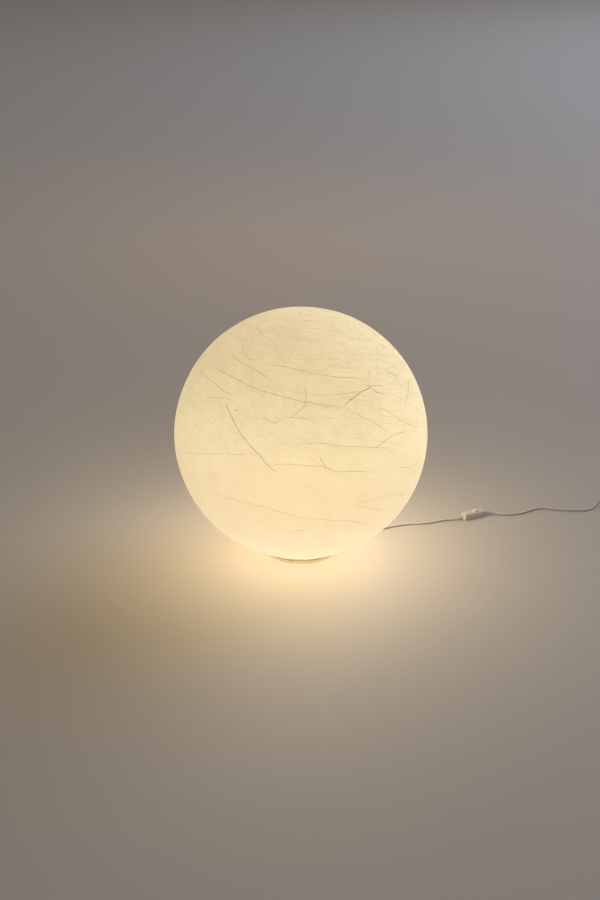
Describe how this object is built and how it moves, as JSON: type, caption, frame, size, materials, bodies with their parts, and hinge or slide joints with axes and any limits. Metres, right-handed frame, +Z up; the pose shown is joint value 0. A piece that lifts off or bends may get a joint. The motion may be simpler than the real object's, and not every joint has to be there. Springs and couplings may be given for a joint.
{
  "type": "moon lamp",
  "caption": "Round paper globe lamp that stands on the floor: lift-off globe on a weighted base, screw-in bulb, lead with in-line rocker switch and two-pin plug.",
  "frame": {"origin": "centre of the base at floor level, under the middle of the globe", "axes": "+Z up; the picture is taken looking along +Y, so +X is the picture's right; the lead leaves behind the lamp's right side, 26 degrees from +X towards +Y"},
  "size_m": [1.2014, 0.6002, 0.604],
  "materials": {
    "washi_paper": "handmade paper, matt, lit from inside",
    "cream_paint": "satin powder coat",
    "zinc_steel": "bright zinc",
    "raw_iron": "rough casting",
    "black_rubber": "matt",
    "lead_grey": "soft PVC",
    "housing_white": "smooth moulded",
    "switch_ivory": "semi-gloss moulded",
    "porcelain": "unglazed",
    "brass": "plain",
    "brown_core": "PVC insulation",
    "blue_core": "PVC insulation",
    "solder_tin": "soft solder",
    "black_plastic": "moulded",
    "nickel": "nickel plated",
    "board_aluminium": "white solder resist on aluminium",
    "chip_yellow": "phosphor",
    "opal_glass": "opal, lit"
  },
  "bodies": {
    "base": {"base_pan": "cream_paint", "bottom_cover": "cream_paint", "cover_screws": "zinc_steel", "foot_pads": "black_rubber", "ballast_ring": "raw_iron", "ballast_screws": "zinc_steel", "support_pillars": "zinc_steel", "pillar_screws": "zinc_steel", "strain_relief": "lead_grey", "lead_tail": "lead_grey", "clamp_block": "housing_white", "clamp_bar": "housing_white", "fixing_screws": "zinc_steel", "terminal_block": "housing_white", "terminal_barrels": "brass", "terminal_screws": "zinc_steel", "live_wires": "brown_core", "neutral_wires": "blue_core", "threaded_rod": "zinc_steel", "rod_nut": "zinc_steel", "rod_washer": "zinc_steel", "stem_tube": "cream_paint", "holder_cap": "housing_white", "holder_insert": "porcelain", "holder_terminal_screws": "brass", "centre_contact": "brass", "screw_shell": "brass", "holder_shell": "housing_white", "lead_to_switch": "lead_grey", "lead_to_coil": "lead_grey", "lead_coil": "lead_grey", "lead_to_plug": "lead_grey", "coil_ties": "black_rubber", "switch_base": "switch_ivory", "switch_cover": "switch_ivory", "fixed_contacts": "brass", "switch_terminal_screws": "zinc_steel", "switch_cores": "brown_core", "switch_screws": "zinc_steel", "plug_body": "switch_ivory", "plug_boot": "lead_grey", "pin_sleeves": "black_plastic", "plug_pins": "nickel"},
    "diffuser": {"globe_upper": "washi_paper", "globe_lower": "washi_paper", "collar_ring": "cream_paint", "spring_clips": "zinc_steel", "clip_rivets": "zinc_steel"},
    "bulb_core": {"bulb_tip": "solder_tin", "bulb_insulator": "black_plastic"},
    "bulb": {"bulb_cap": "nickel", "bulb_housing": "housing_white", "led_board": "board_aluminium", "led_chips": "chip_yellow", "bulb_globe": "opal_glass"},
    "rocker": {"switch_rocker": "switch_ivory", "contact_plunger": "zinc_steel", "plunger_spring": "zinc_steel"},
    "contact": {"contact_bar": "brass"}
  },
  "joints": [
    {"name": "diffuser_lift", "type": "slide", "parent": "base", "child": "diffuser", "axis": [0, 0, 1], "range_m": [0, 0.28]},
    {"name": "bulb_rise", "type": "slide", "parent": "base", "child": "bulb_core", "axis": [0, 0, 1], "range_m": [0, 0.01455]},
    {"name": "bulb_turn", "type": "hinge", "parent": "bulb_core", "child": "bulb", "pos_m": [0, 0, 0.1167], "axis": [0, 0, 1], "range_deg": [0, 1440]},
    {"name": "rocker_tilt", "type": "hinge", "parent": "base", "child": "rocker", "pos_m": [0.4425, 0.1715, 0.012], "axis": [-0.4067, 0.9135, 0], "range_deg": [0, 20]},
    {"name": "contact_tilt", "type": "hinge", "parent": "base", "child": "contact", "pos_m": [0.4425, 0.1715, 0.0044], "axis": [-0.4067, 0.9135, 0], "range_deg": [-16, 0]}
  ],
  "couplings": [
    {"joint": "bulb_rise", "follows": "bulb_turn", "m_per_rad": 0.00057757},
    {"joint": "contact_tilt", "follows": "rocker_tilt", "ratio": -0.8}
  ]
}
